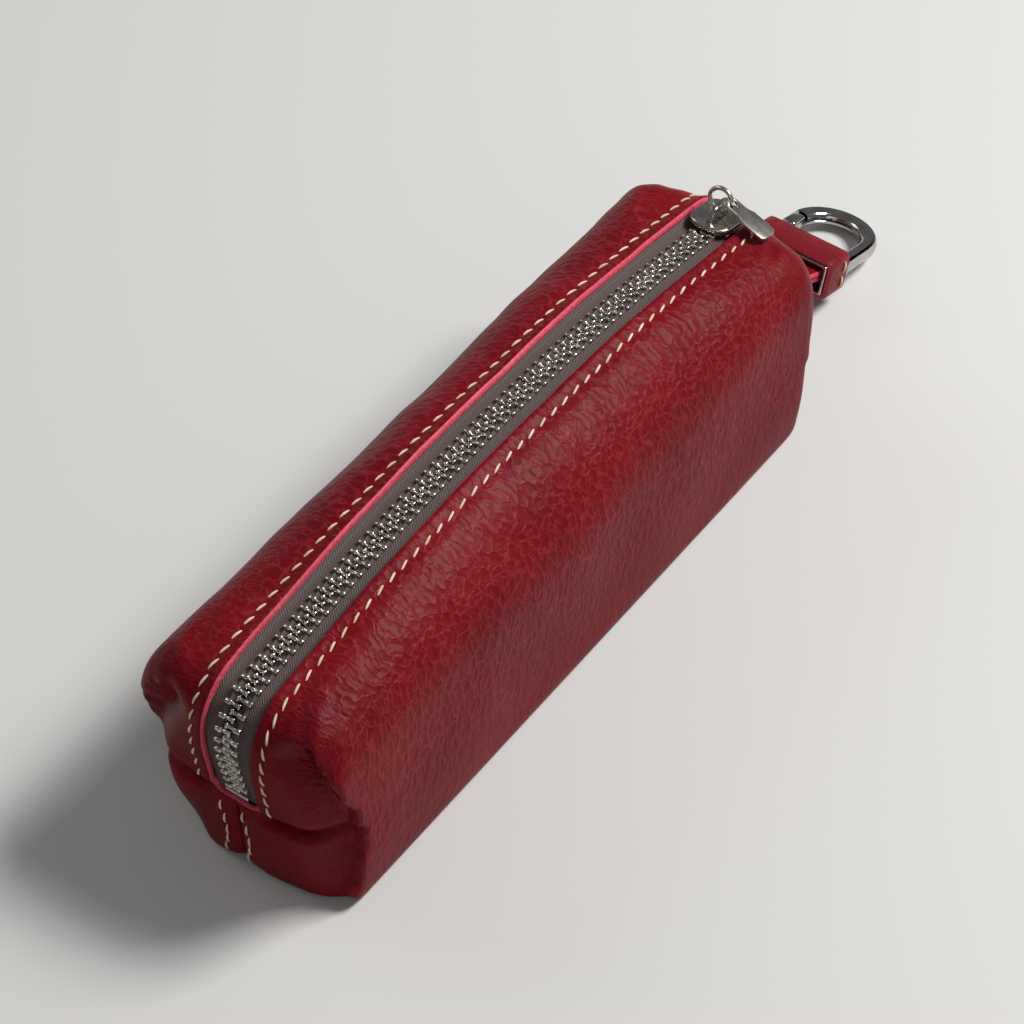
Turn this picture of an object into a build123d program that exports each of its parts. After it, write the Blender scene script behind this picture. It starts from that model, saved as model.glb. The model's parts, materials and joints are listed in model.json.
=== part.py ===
from build123d import *
import os
from math import asin, cos, floor, radians, sin

# A small zippered leather pouch with a spring-gate hook on a short strap.
# Two leather panels wrap the sides and meet along the middle of the base. A metal
# zipper closes the arched top and runs down over the near end. The strap comes out
# of the far end seam and ends in a metal hook with a leather collar.
#
# Frame: millimetres, +Z up, +Y along the zipper towards the hook, origin at the
# centre of the base the pouch rests on.

os.makedirs("parts", exist_ok=True)

# ---- driving dimensions: leather body ----
body_length = 125.0         # between the corners of the two ends
body_width = 38.0
crown_height = 43.5         # top of the arch, beside the zipper
wall = 1.5                  # leather thickness
crown_drop = 8.0            # how much lower the arch is at its far end
crown_shift = -5.0          # place of the highest point along Y
near_arch_inset = 3.0       # the arch ends this far inside the near corners
far_arch_reach = 4.5        # and this far beyond the far corners
near_bulge = 4.5            # fullness of the ends beyond the corners
far_bulge = 8.0
bulge_height = 29.0
seam_height = 16.5          # the horizontal seam across each end
seam_fullness = 0.5         # reach of the seam beyond the corners
foot_inset = 2.0            # the base is shorter than the body by this at each end
shoulder_radius = 14.0      # rounding between top and sides
foot_radius = 3.5           # rounding between base and sides
corner_radius = 5.0         # rounding of the upright corners
base_groove = 7.0           # width of the shallow channel that holds the base seam
base_groove_depth = 0.6
base_groove_end = 2.5       # plain leather left at each end of the channel
seam_allowance = 4.5        # leather turned in along the base seam
allowance_thickness = 1.2

# ---- driving dimensions: zipper ----
zip_slot = 9.0              # gap between the two leather lips
tape_thickness = 0.6
tape_gap = 2.4              # between the inner edges of the two tapes
tape_reach = 10.5           # outer edge of each tape from the middle
sewn_gap = 0.05             # between leather and tape
tooth_pitch = 2.05          # one tooth of each side
tooth_length = 0.84         # along the zipper
tooth_height = 2.1
tooth_root = 2.15           # outer end from the middle
tooth_head = 0.62           # how far the head passes the middle
tooth_grip = 0.07           # clearance of a tooth on its tape
tooth_corner = 0.2
seam_margin = 1.6           # bare tape between the end seam and the last tooth

# ---- driving dimensions: slider and pull ----
slider_width = 7.4
slider_length = 8.6
slider_plate = 1.1
slider_corner = 1.5
slider_play = 0.25          # above and below the teeth
slider_flange = 0.7
slider_tape_play = 0.18
neck_width = 1.2
neck_length = 1.4
neck_setback = 0.4          # plate beyond the neck at the far side
slider_end_gap = 0.1        # between the closed slider and the end of the arch
bridge_length = 6.4
bridge_width = 1.2
bridge_bar = 0.9
bridge_tunnel = 1.45
ring_radius = 2.1
ring_wire = 0.8
tab_length = 8.0
tab_width = 4.0
tab_thickness = 0.7
tab_eye = 1.9
tab_eye_wall = 0.55
tab_corner = 1.0
tab_neck_length = 0.6
tab_droop = 18.0
stop_height = 1.9
bottom_stop_length = 0.64
top_stop_length = 1.0
top_stop_width = 1.4
top_stop_gap = 0.4          # between a top stop and the closed slider

# ---- driving dimensions: stitching ----
stitch_pitch = 2.95
stitch_length = 2.05
stitch_width = 0.55
stitch_height = 0.5
stitch_sink = 0.25          # depth of a thread in the leather
stitch_slant = 14.0
lip_to_stitch = 2.1
base_stitch_side = 2.5
base_stitch_height = 0.4

# ---- driving dimensions: strap and hook ----
strap_width = 12.5
strap_ply = 1.0
strap_tail = 4.0            # length inside the pouch
strap_lead = 3.0            # level stretch outside the seam
strap_bend_radius = 6.0
strap_slit_depth = 12.0     # of the cut for the strap, centred on the end seam
strap_row_back = 8.0        # row of stitches, from the hook pin
strap_row_count = 4
hook_reach = 25.0           # hook pin beyond the corner line of the far end
hook_pin_height = 7.2
hook_tilt = 17.0            # fall of the hook towards its tip
hook_pin_diameter = 1.6
pin_play = 0.05
sleeve_width = 14.7
sleeve_height = 5.5
sleeve_wall = 0.7
sleeve_near = -2.6          # along the hook's own axis, from the pin
sleeve_far = 4.2
collar_thickness = 0.9
collar_depth = 6.0
collar_play = 0.03
loop_width = 16.2
loop_bar = 3.0
loop_thickness = 2.5
loop_tip = 20.1
loop_base_bar = 1.2         # bar of the loop beside the sleeve
cast_overlap = 0.1          # of the loop and the sleeve, which are one casting
gate_end = 13.0
gate_play = 0.3
gate_bar = 2.6
gate_corner = 0.4
ear_thickness = 0.7
ear_play = 0.1
gate_pin_diameter = 0.9
gate_pin_play = 0.03
gate_pivot = 6.95
knuckle_radius = 1.4
spring_radius = 0.7
spring_wire = 0.2
spring_play = 0.04

# ---- worked-out sizes ----
half_length = body_length / 2
half_width = body_width / 2
near_y = near_arch_inset - half_length
far_y = half_length + far_arch_reach
crown_reach = far_y - crown_shift
crown_radius = (crown_reach ** 2 + crown_drop ** 2) / (2 * crown_drop)
near_angle = asin((near_y - crown_shift) / crown_radius)
far_angle = asin(crown_reach / crown_radius)
tape_depth = wall + sewn_gap + tape_thickness / 2
plate_bottom = tooth_height / 2 + slider_play
plate_top = plate_bottom + slider_plate
stitch_side = zip_slot / 2 + lip_to_stitch
gate_side = loop_width / 2 - loop_bar / 2


def crown_point(angle, depth):
    """Y and Z on the arch, at an angle from upright, a depth below the leather's top."""
    radius = crown_radius - depth
    return (crown_shift + radius * sin(angle), crown_height - crown_radius + radius * cos(angle))


def end_points(side, inset):
    """Points down one end: end of the arch, fullest point, seam and foot."""
    angle = near_angle if side < 0 else far_angle
    bulge = near_bulge if side < 0 else far_bulge
    seam = (side * (half_length + seam_fullness + (bulge - near_bulge) - inset), seam_height)
    foot = (side * (half_length - foot_inset - inset), inset)
    full = (side * (half_length + bulge - inset), bulge_height)
    return crown_point(angle, inset), full, seam, foot


def end_curve(side, inset):
    """The curve from the end of the arch round and down to the end seam."""
    angle = near_angle if side < 0 else far_angle
    start, full, seam, foot = end_points(side, inset)
    fall = (foot[0] - seam[0], foot[1] - seam[1])
    along = (side * cos(angle), -side * sin(angle))
    return Spline(start, full, seam, tangents=[along, fall])


def pouch_form(inset):
    """The closed outer form of the pouch, shrunk by an inset on every side."""
    near = end_points(-1, inset)
    far = end_points(1, inset)
    top = crown_point(0, inset)
    rim = half_width - inset
    with BuildPart() as form:
        with BuildSketch(Plane.YZ.offset(-body_width)):
            with BuildLine():
                ThreePointArc(near[0], top, far[0])
                end_curve(1, inset)
                Line(far[2], far[3])
                Line(far[3], near[3])
                Line(near[3], near[2])
                end_curve(-1, inset)
            make_face()
        extrude(amount=2 * body_width)
        with BuildSketch(Plane.XZ.offset(-body_length)) as section:
            with Locations((0, crown_height / 2)):
                Rectangle(body_width - 2 * inset, crown_height - 2 * inset)
            fillet(section.vertices().group_by(Axis.Y)[-1], shoulder_radius - inset)
            fillet(section.vertices().group_by(Axis.Y)[0], foot_radius - inset)
        extrude(amount=2 * body_length, mode=Mode.INTERSECT)
        with BuildSketch() as plan:
            with BuildLine():
                ThreePointArc((-rim, -half_length + inset), (0, near[1][0]), (rim, -half_length + inset))
                Line((rim, -half_length + inset), (rim, half_length - inset))
                ThreePointArc((rim, half_length - inset), (0, far[1][0]), (-rim, half_length - inset))
                Line((-rim, half_length - inset), (-rim, -half_length + inset))
            make_face()
            fillet(plan.vertices(), corner_radius - inset)
        extrude(amount=crown_height, mode=Mode.INTERSECT)
    return form.part


def end_edge(side, depth):
    """The end curve as one edge in the middle plane."""
    with BuildLine(Plane.YZ) as line:
        end_curve(side, depth)
    return line.edge()


class ZipLine:
    """The zipper's line at a depth below the leather, from the near seam to the far one."""

    def __init__(self, depth):
        self.depth = depth
        self.near = end_edge(-1, depth)
        self.far = end_edge(1, depth)
        self.arc = (crown_radius - depth) * (far_angle - near_angle)
        self.length = self.near.length + self.arc + self.far.length

    def distance(self, angle):
        """Distance along the line to an angle of the arch."""
        return self.near.length + (crown_radius - self.depth) * (angle - near_angle)

    def at(self, distance):
        """Point on the line and its direction towards the far end."""
        if distance < self.near.length:
            share = 1 - distance / self.near.length
            return self.near.position_at(share), -self.near.tangent_at(share)
        if distance > self.near.length + self.arc:
            share = (distance - self.near.length - self.arc) / self.far.length
            return self.far.position_at(share), self.far.tangent_at(share)
        angle = near_angle + (distance - self.near.length) / (crown_radius - self.depth)
        return Vector(0, *crown_point(angle, self.depth)), Vector(0, cos(angle), -sin(angle))

    def across(self, distance):
        """A plane that cuts the zipper square, X to the right."""
        point, direction = self.at(distance)
        return Plane(origin=point, x_dir=(1, 0, 0), z_dir=direction)

    def upon(self, distance, offset):
        """A plane lying on the line, its X along the zipper, offset to one side."""
        point, direction = self.at(distance)
        normal = Vector(1, 0, 0).cross(direction)
        return Plane(origin=point + Vector(offset, 0, 0), x_dir=direction, z_dir=normal)


def copies(shape, planes):
    """One part that holds a copy of a shape on each plane."""
    with BuildPart() as group:
        with Locations(*[plane.location for plane in planes]):
            add(shape)
    return group.part


def stitch(length, height, slant):
    """One visible thread, lying along X and sunk into the leather."""
    with BuildPart() as thread:
        with BuildSketch(Plane.XY.offset(-stitch_sink)):
            SlotOverall(length, stitch_width, rotation=slant)
        extrude(amount=height)
    return thread.part


def finish(part, name):
    """Label a finished piece and write it out."""
    part.label = name
    export_step(part, f"parts/{name}.step")


# ---- leather panels ----
# Each panel is one side, half the top and half the base. They meet along the middle of
# the base and of the lower ends, where their edges are turned in and topstitched. The
# far end seam has a slit for the strap.
outer_form = pouch_form(0)
inner_form = pouch_form(wall)
strap_thickness = 2 * strap_ply
slit_height = strap_thickness + 2 * sewn_gap
slit_width = strap_width + 2 * sewn_gap
far_seam = end_points(1, 0)[2]
base_groove_length = 2 * (half_length - foot_inset - base_groove_end)

for side, name in ((-1, "left_panel"), (1, "right_panel")):
    with BuildPart() as panel:
        add(outer_form)
        add(inner_form, mode=Mode.SUBTRACT)
        with Locations((side * seam_allowance / 2, 0, wall + allowance_thickness / 2)):
            Box(seam_allowance, 2 * (half_length - foot_inset - wall), allowance_thickness)
        with Locations((0, 0, crown_height)):
            Box(zip_slot, 2 * body_length, 2 * (crown_height - seam_height), mode=Mode.SUBTRACT)
        Box(base_groove, base_groove_length, 2 * base_groove_depth, mode=Mode.SUBTRACT)
        with Locations((0, far_seam[0], seam_height)):
            Box(slit_width, strap_slit_depth, slit_height, mode=Mode.SUBTRACT)
        split(bisect_by=Plane.YZ, keep=Keep.TOP if side > 0 else Keep.BOTTOM)
    finish(panel.part, name)


# ---- zipper tapes ----
# Two woven tapes lie under the leather on both sides of the slot, from seam to seam.
tape_top = pouch_form(wall + sewn_gap)
tape_under = pouch_form(wall + sewn_gap + tape_thickness)
tape_foot = seam_height + slit_height / 2 + sewn_gap
tape_width = tape_reach - tape_gap / 2

for side, name in ((-1, "left_tape"), (1, "right_tape")):
    with BuildPart() as tape:
        add(tape_top)
        add(tape_under, mode=Mode.SUBTRACT)
        with Locations((side * (tape_gap / 2 + tape_width / 2), 0, tape_foot + crown_height / 2)):
            Box(tape_width, 2 * body_length, crown_height, mode=Mode.INTERSECT)
    finish(tape.part, name)

# ---- zipper teeth ----
# Metal teeth clamp the inner edge of each tape and mesh along the middle, from the bottom
# stop at the near seam up to the slider.
tape_line = ZipLine(tape_depth)
slider_margin = slider_length / 2 + slider_end_gap
slider_angle = far_angle - slider_margin / crown_radius
slider_distance = tape_line.distance(slider_angle)
tooth_width = tooth_root + tooth_head
teeth_each_side = floor((slider_distance - seam_margin) / tooth_pitch)

for side, name in ((-1, "left_teeth"), (1, "right_teeth")):
    with BuildPart() as tooth:
        with BuildSketch():
            with Locations((side * (tooth_root - tooth_width / 2), 0)):
                RectangleRounded(tooth_width, tooth_height, tooth_corner)
            with Locations((side * tape_reach / 2 + side * (tape_gap / 2 - tooth_grip), 0)):
                Rectangle(tape_reach, tape_thickness + 2 * tooth_grip, mode=Mode.SUBTRACT)
        extrude(amount=tooth_length / 2, both=True)
    first = seam_margin + (tooth_pitch / 2 if side > 0 else 0)
    places = [tape_line.across(first + row * tooth_pitch) for row in range(teeth_each_side)]
    finish(copies(tooth.part, places), name)

# ---- zipper stops ----
# A staple across both tapes ends the zipper at the near seam, and one small clamp on each
# tape stops the slider at the far end.
with BuildPart() as bottom_stop:
    with BuildSketch(tape_line.across(seam_margin / 2)):
        Rectangle(2 * tooth_root, stop_height)
        for side in (-1, 1):
            with Locations((side * (tape_gap / 2 - tooth_grip + tooth_root / 2), 0)):
                Rectangle(tooth_root, tape_thickness + 2 * tooth_grip, mode=Mode.SUBTRACT)
    extrude(amount=bottom_stop_length / 2, both=True)
finish(bottom_stop.part, "bottom_stop")

stop_distance = slider_distance + slider_length / 2 + top_stop_gap + top_stop_length / 2
stop_reach = tape_gap / 2 + top_stop_width
with BuildPart() as top_stops:
    with BuildSketch(tape_line.across(stop_distance)):
        for side in (-1, 1):
            with Locations((side * (stop_reach + neck_width / 2) / 2, 0)):
                Rectangle(stop_reach - neck_width / 2, stop_height)
            with Locations((side * (tape_gap / 2 - tooth_grip + tooth_root / 2), 0)):
                Rectangle(tooth_root, tape_thickness + 2 * tooth_grip, mode=Mode.SUBTRACT)
    extrude(amount=top_stop_length / 2, both=True)
finish(top_stops.part, "top_stops")

# ---- slider ----
# Two plates joined by a neck at the far side, flanges that hold the tapes, and an arched
# bridge on top for the pull.
slider_y, slider_z = crown_point(slider_angle, tape_depth)
slider_up = (0, sin(slider_angle), cos(slider_angle))
slider_plane = Plane(origin=(0, slider_y, slider_z), x_dir=(1, 0, 0), z_dir=slider_up)
bar_bottom = plate_top + bridge_tunnel
bar_top = bar_bottom + bridge_bar
flange_gap = tape_thickness / 2 + slider_tape_play
flange_height = plate_bottom - flange_gap
side_plane = Plane(slider_plane.origin, x_dir=slider_plane.y_dir, z_dir=slider_plane.x_dir)

with BuildPart() as slider_body:
    for face in (-1, 1):
        with BuildSketch(slider_plane.offset(face * plate_bottom)):
            RectangleRounded(slider_width, slider_length, slider_corner)
        extrude(amount=face * slider_plate)
        with BuildSketch(slider_plane.offset(face * flange_gap)) as flanges:
            RectangleRounded(slider_width, slider_length, slider_corner)
            Rectangle(slider_width - 2 * slider_flange, 2 * slider_length, mode=Mode.SUBTRACT)
        extrude(amount=face * flange_height)
    with BuildSketch(slider_plane.offset(-plate_bottom)):
        with Locations((0, slider_length / 2 - neck_length / 2 - neck_setback)):
            Rectangle(neck_width, neck_length)
    extrude(amount=2 * plate_bottom)
    with BuildSketch(side_plane):
        with Locations((0, plate_top + (bar_top - plate_top) / 2)):
            Rectangle(bridge_length, bar_top - plate_top)
        with Locations((0, plate_top + bridge_tunnel / 2)):
            Rectangle(bridge_length - 2 * bridge_bar, bridge_tunnel, mode=Mode.SUBTRACT)
    extrude(amount=bridge_width / 2, both=True)
finish(slider_body.part, "slider_body")

# ---- pull ring and tab ----
# A small ring stands in the bridge. The tab hangs on the ring and lies over to the right.
ring_foot = plate_top + bridge_tunnel / 2
ring_centre = ring_foot + ring_radius
ring_plane = Plane(slider_plane.from_local_coords(Vector(0, 0, ring_centre)),
                   x_dir=slider_plane.x_dir, z_dir=slider_plane.y_dir)
with BuildPart() as pull_ring:
    with Locations(ring_plane.location):
        Torus(ring_radius, ring_wire / 2)
finish(pull_ring.part, "pull_ring")

tab_level = slider_plane.from_local_coords(Vector(ring_radius, 0, ring_centre))
tab_out = slider_plane.x_dir * cos(radians(tab_droop)) - slider_plane.z_dir * sin(radians(tab_droop))
tab_plane = Plane(tab_level, x_dir=tab_out, z_dir=tab_out.cross(slider_plane.y_dir))
tab_rim = tab_eye / 2 + tab_eye_wall
tab_neck = tab_rim + tab_neck_length
with BuildPart() as pull_tab:
    with BuildSketch(tab_plane.offset(-tab_thickness / 2)):
        Circle(tab_rim)
        with Locations((tab_neck / 2, 0)):
            Rectangle(tab_neck, 2 * tab_rim)
        with Locations((tab_neck + (tab_length - tab_neck) / 2, 0)):
            RectangleRounded(tab_length - tab_neck, tab_width, tab_corner)
        Circle(tab_eye / 2, mode=Mode.SUBTRACT)
    extrude(amount=tab_thickness)
finish(pull_tab.part, "pull_tab")

# ---- zipper stitching ----
# One row of thread on each side of the slot, through leather and tape, from the near seam
# over the top to the far seam.
skin_line = ZipLine(0)
stitches_each_side = floor((skin_line.length - stitch_pitch) / stitch_pitch)
for side, name in ((-1, "left_zip_stitches"), (1, "right_zip_stitches")):
    thread = stitch(stitch_length, stitch_height, -side * stitch_slant)
    places = []
    for row in range(stitches_each_side):
        places.append(skin_line.upon((row + 1) * stitch_pitch, side * stitch_side))
    finish(copies(thread, places), name)

# ---- base seam stitching ----
# A row on each side of the base seam, in the shallow channel, so the pouch rests on the
# leather and not on the thread.
base_run = base_groove_length - stitch_pitch
base_count = floor(base_run / stitch_pitch)
for side, name in ((-1, "left_base_stitches"), (1, "right_base_stitches")):
    thread = stitch(stitch_length, base_stitch_height, 0)
    places = []
    for row in range(base_count):
        spot = (row - (base_count - 1) / 2) * stitch_pitch
        level = (side * base_stitch_side, spot, base_groove_depth)
        places.append(Plane(origin=level, x_dir=(0, 1, 0), z_dir=(0, 0, -1)))
    finish(copies(thread, places), name)

# ---- strap ----
# A folded leather strap, two plies thick. Its tail is caught in the far end seam and its
# fold turns round the hook's cross pin.
pin_y = half_length + hook_reach
pin_spot = (pin_y, hook_pin_height)
strap_start = (far_seam[0] - wall - strap_tail, seam_height)
strap_bend = (far_seam[0] + strap_lead, seam_height)
pin_hole = hook_pin_diameter / 2 + pin_play
with BuildPart() as strap:
    with BuildSketch(Plane.YZ):
        with BuildLine():
            FilletPolyline(strap_start, strap_bend, pin_spot, radius=strap_bend_radius)
        trace(line_width=strap_thickness)
        with Locations(pin_spot):
            Circle(pin_hole + strap_ply)
            Circle(pin_hole, mode=Mode.SUBTRACT)
    extrude(amount=strap_width / 2, both=True)
finish(strap.part, "strap")

# The fold is held by a short row of thread across the strap.
strap_fall = Vector(0, pin_spot[0] - strap_bend[0], pin_spot[1] - strap_bend[1]).normalized()
strap_up = Vector(1, 0, 0).cross(strap_fall)
row_spot = Vector(0, *pin_spot) - strap_fall * strap_row_back + strap_up * (strap_thickness / 2)
places = []
for row in range(strap_row_count):
    across = Vector((row - (strap_row_count - 1) / 2) * stitch_pitch, 0, 0)
    places.append(Plane(origin=row_spot + across, x_dir=(1, 0, 0), z_dir=strap_up))
finish(copies(stitch(stitch_length, stitch_height, 0), places), "strap_stitches")

# ---- hook frame ----
# One casting: a flat rectangular sleeve that takes the strap, and a thick U-shaped loop
# with an open left side. Two ears at the sleeve carry the gate.
tilt = radians(hook_tilt)
hook_plane = Plane(origin=(0, *pin_spot), x_dir=(1, 0, 0), z_dir=(0, sin(tilt), cos(tilt)))
sleeve_length = sleeve_far - sleeve_near
loop_base = sleeve_far + loop_base_bar
loop_outer = loop_width / 2
loop_inner = loop_outer - loop_bar
loop_centre = loop_tip - loop_outer
ear_gap = loop_thickness - 2 * ear_thickness
cross_plane = Plane(hook_plane.origin, x_dir=hook_plane.y_dir, z_dir=hook_plane.x_dir)
with BuildPart() as hook_frame:
    with BuildSketch(hook_plane.offset(-sleeve_height / 2)):
        with Locations((0, sleeve_near + sleeve_length / 2)):
            Rectangle(sleeve_width, sleeve_length)
    extrude(amount=sleeve_height)
    with BuildSketch(hook_plane.offset(-sleeve_height / 2 + sleeve_wall)):
        with Locations((0, sleeve_near + sleeve_length / 2 - sleeve_wall)):
            Rectangle(sleeve_width - 2 * sleeve_wall, sleeve_length)
    extrude(amount=sleeve_height - 2 * sleeve_wall, mode=Mode.SUBTRACT)
    with BuildSketch(hook_plane.offset(-loop_thickness / 2)) as loop:
        with Locations((0, (sleeve_far + loop_centre) / 2)):
            Rectangle(loop_width, loop_centre - sleeve_far + 2 * cast_overlap)
        with Locations((0, loop_centre)):
            Circle(loop_outer)
            Circle(loop_inner, mode=Mode.SUBTRACT)
        with Locations((0, (loop_base + loop_centre) / 2)):
            Rectangle(2 * loop_inner, loop_centre - loop_base, mode=Mode.SUBTRACT)
        with Locations((0, sleeve_far - 2 * loop_outer - cast_overlap)):
            Rectangle(2 * loop_width, 4 * loop_outer, mode=Mode.SUBTRACT)
        with Locations((-gate_side, (loop_base + gate_end) / 2)):
            Rectangle(2 * loop_bar, gate_end - loop_base, mode=Mode.SUBTRACT)
    extrude(amount=loop_thickness)
    for level in (-loop_thickness / 2, loop_thickness / 2 - ear_thickness):
        with BuildSketch(hook_plane.offset(level)):
            with Locations((-gate_side, gate_pivot)):
                Circle(knuckle_radius)
            with Locations((-gate_side, (gate_pivot + loop_base) / 2)):
                Rectangle(2 * knuckle_radius, gate_pivot - loop_base)
        extrude(amount=ear_thickness)
    with BuildSketch(cross_plane):
        Circle(hook_pin_diameter / 2)
    extrude(amount=sleeve_width / 2, both=True, mode=Mode.SUBTRACT)
    with BuildSketch(hook_plane.offset(-loop_thickness)):
        with Locations((-gate_side, gate_pivot)):
            Circle(gate_pin_diameter / 2)
    extrude(amount=2 * loop_thickness, mode=Mode.SUBTRACT)
finish(hook_frame.part, "hook_frame")

# ---- hook cross pin ----
# A plain pin across the sleeve, pressed into its sides, that the strap turns round.
with BuildPart() as hook_pin:
    with BuildSketch(cross_plane):
        Circle(hook_pin_diameter / 2)
    extrude(amount=sleeve_width / 2, both=True)
finish(hook_pin.part, "hook_pin")

# ---- collar ----
# A leather band glued round the sleeve and sewn on its right side.
collar_middle = (sleeve_near + sleeve_far) / 2
collar_width = sleeve_width + 2 * collar_play + 2 * collar_thickness
collar_height = sleeve_height + 2 * collar_play + 2 * collar_thickness
collar_plane = Plane(hook_plane.from_local_coords(Vector(0, collar_middle, 0)),
                     x_dir=hook_plane.x_dir, z_dir=hook_plane.y_dir)
with BuildPart() as hook_collar:
    with BuildSketch(collar_plane):
        RectangleRounded(collar_width, collar_height, collar_thickness)
        Rectangle(collar_width - 2 * collar_thickness, collar_height - 2 * collar_thickness,
                  mode=Mode.SUBTRACT)
    extrude(amount=collar_depth / 2, both=True)
finish(hook_collar.part, "hook_collar")

# Two threads hold the lap of the collar on its right side.
places = []
for step in (-1, 1):
    spot = Vector(collar_width / 2, collar_middle + collar_depth / 4, step * stitch_pitch / 2)
    places.append(Plane(hook_plane.from_local_coords(spot), x_dir=hook_plane.z_dir,
                        z_dir=hook_plane.x_dir))
finish(copies(stitch(stitch_length, stitch_height, 0), places), "collar_stitches")

# ---- gate ----
# The left side of the loop is a gate. It turns inwards on a pin between the ears, and a
# ring of spring wire in a recess of its knuckle pushes it shut.
knuckle_height = ear_gap - 2 * ear_play
gate_leg_start = gate_pivot + knuckle_radius + ear_play
gate_leg_end = gate_end - gate_play
gate_height = loop_thickness - 2 * ear_play
spring_recess = spring_radius + spring_wire
with BuildPart() as hook_gate:
    with BuildSketch(hook_plane.offset(-knuckle_height / 2)):
        with Locations((-gate_side, gate_pivot)):
            Circle(knuckle_radius)
        with Locations((-gate_side, (gate_pivot + gate_leg_start) / 2 + ear_play)):
            Rectangle(gate_bar, gate_leg_start - gate_pivot + 2 * ear_play)
    extrude(amount=knuckle_height)
    with BuildSketch(hook_plane.offset(-gate_height / 2)):
        with Locations((-gate_side, (gate_leg_start + gate_leg_end) / 2)):
            RectangleRounded(gate_bar, gate_leg_end - gate_leg_start, gate_corner)
    extrude(amount=gate_height)
    with BuildSketch(hook_plane.offset(-loop_thickness)):
        with Locations((-gate_side, gate_pivot)):
            Circle(gate_pin_diameter / 2 + gate_pin_play)
    extrude(amount=2 * loop_thickness, mode=Mode.SUBTRACT)
    with BuildSketch(hook_plane.offset(-knuckle_height / 2)):
        with Locations((-gate_side, gate_pivot)):
            Circle(spring_recess)
    extrude(amount=2 * spring_wire + spring_play, mode=Mode.SUBTRACT)
finish(hook_gate.part, "hook_gate")

with BuildPart() as gate_pin:
    with BuildSketch(hook_plane.offset(-loop_thickness / 2)):
        with Locations((-gate_side, gate_pivot)):
            Circle(gate_pin_diameter / 2)
    extrude(amount=loop_thickness)
finish(gate_pin.part, "gate_pin")

spring_level = -knuckle_height / 2 + spring_wire / 2 + spring_play / 2
spring_spot = hook_plane.from_local_coords(Vector(-gate_side, gate_pivot, spring_level))
with BuildPart() as gate_spring:
    with Locations(Plane(spring_spot, x_dir=hook_plane.x_dir, z_dir=hook_plane.z_dir).location):
        Torus(spring_radius, spring_wire / 2)
finish(gate_spring.part, "gate_spring")
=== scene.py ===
import bpy
import bmesh
import json
from math import cos, exp, floor, hypot, pi, radians, sin
from mathutils import Matrix, Vector, noise


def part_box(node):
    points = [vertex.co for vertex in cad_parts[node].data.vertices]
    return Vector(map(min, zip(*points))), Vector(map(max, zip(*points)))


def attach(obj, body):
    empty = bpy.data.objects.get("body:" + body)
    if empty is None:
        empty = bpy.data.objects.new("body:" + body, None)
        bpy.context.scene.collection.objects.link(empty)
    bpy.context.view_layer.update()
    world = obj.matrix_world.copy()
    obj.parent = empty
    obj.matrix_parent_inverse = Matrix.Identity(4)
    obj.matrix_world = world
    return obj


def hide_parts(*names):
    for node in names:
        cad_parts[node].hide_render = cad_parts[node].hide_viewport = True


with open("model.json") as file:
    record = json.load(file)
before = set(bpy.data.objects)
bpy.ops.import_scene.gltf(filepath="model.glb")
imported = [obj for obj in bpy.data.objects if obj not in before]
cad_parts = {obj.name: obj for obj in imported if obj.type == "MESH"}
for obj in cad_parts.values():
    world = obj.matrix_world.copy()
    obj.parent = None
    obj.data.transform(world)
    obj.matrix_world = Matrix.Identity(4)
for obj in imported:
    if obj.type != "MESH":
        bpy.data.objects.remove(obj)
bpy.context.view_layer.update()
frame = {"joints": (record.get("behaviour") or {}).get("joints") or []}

# ---- Camera, light and floor ----
# The pouch is seen from above its near right corner through a long lens. It stands on a
# plain pale floor, under one broad lamp overhead, a weaker one in front and a grey world.
camera_azimuth = radians(35.56)
camera_elevation = radians(47.66)
camera_distance = 0.7017
camera_target = Vector((0.00165, 0.00352, 0.020))
camera_back = Vector((sin(camera_azimuth) * cos(camera_elevation),
                      -cos(camera_azimuth) * cos(camera_elevation), sin(camera_elevation)))
camera = bpy.data.objects.new("camera", bpy.data.cameras.new("camera"))
camera.data.lens = 158.2
camera.data.sensor_width = 36
camera.data.clip_start = 0.01
camera.location = camera_target + camera_back * camera_distance
camera.rotation_mode = "QUATERNION"
camera.rotation_quaternion = (-camera_back).to_track_quat("-Z", "Y")
bpy.context.scene.collection.objects.link(camera)
bpy.context.scene.camera = camera
bpy.context.scene.view_settings.view_transform = "Standard"


def lamp(name, place, aim, power, size):
    """A square area lamp at a place, turned to an aim."""
    light = bpy.data.lights.new(name, "AREA")
    light.energy = power
    light.size = size
    stand = bpy.data.objects.new(name, light)
    stand.location = place
    stand.rotation_mode = "QUATERNION"
    stand.rotation_quaternion = (Vector(aim) - Vector(place)).to_track_quat("-Z", "Y")
    bpy.context.scene.collection.objects.link(stand)


pouch_middle = (0, 0, 0.02)
lamp("overhead_lamp", (0.34, 0.42, 0.68), pouch_middle, 9.5, 0.26)
lamp("front_lamp", (0.55, -0.65, 0.55), pouch_middle, 1.2, 0.7)
lamp("side_lamp", (-0.8, -0.1, 0.6), pouch_middle, 1.6, 0.5)
world = bpy.data.worlds.new("grey_room")
world.use_nodes = True
world.node_tree.nodes["Background"].inputs["Color"].default_value = (0.9, 0.93, 1.0, 1)
world.node_tree.nodes["Background"].inputs["Strength"].default_value = 0.16
bpy.context.scene.world = world

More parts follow.
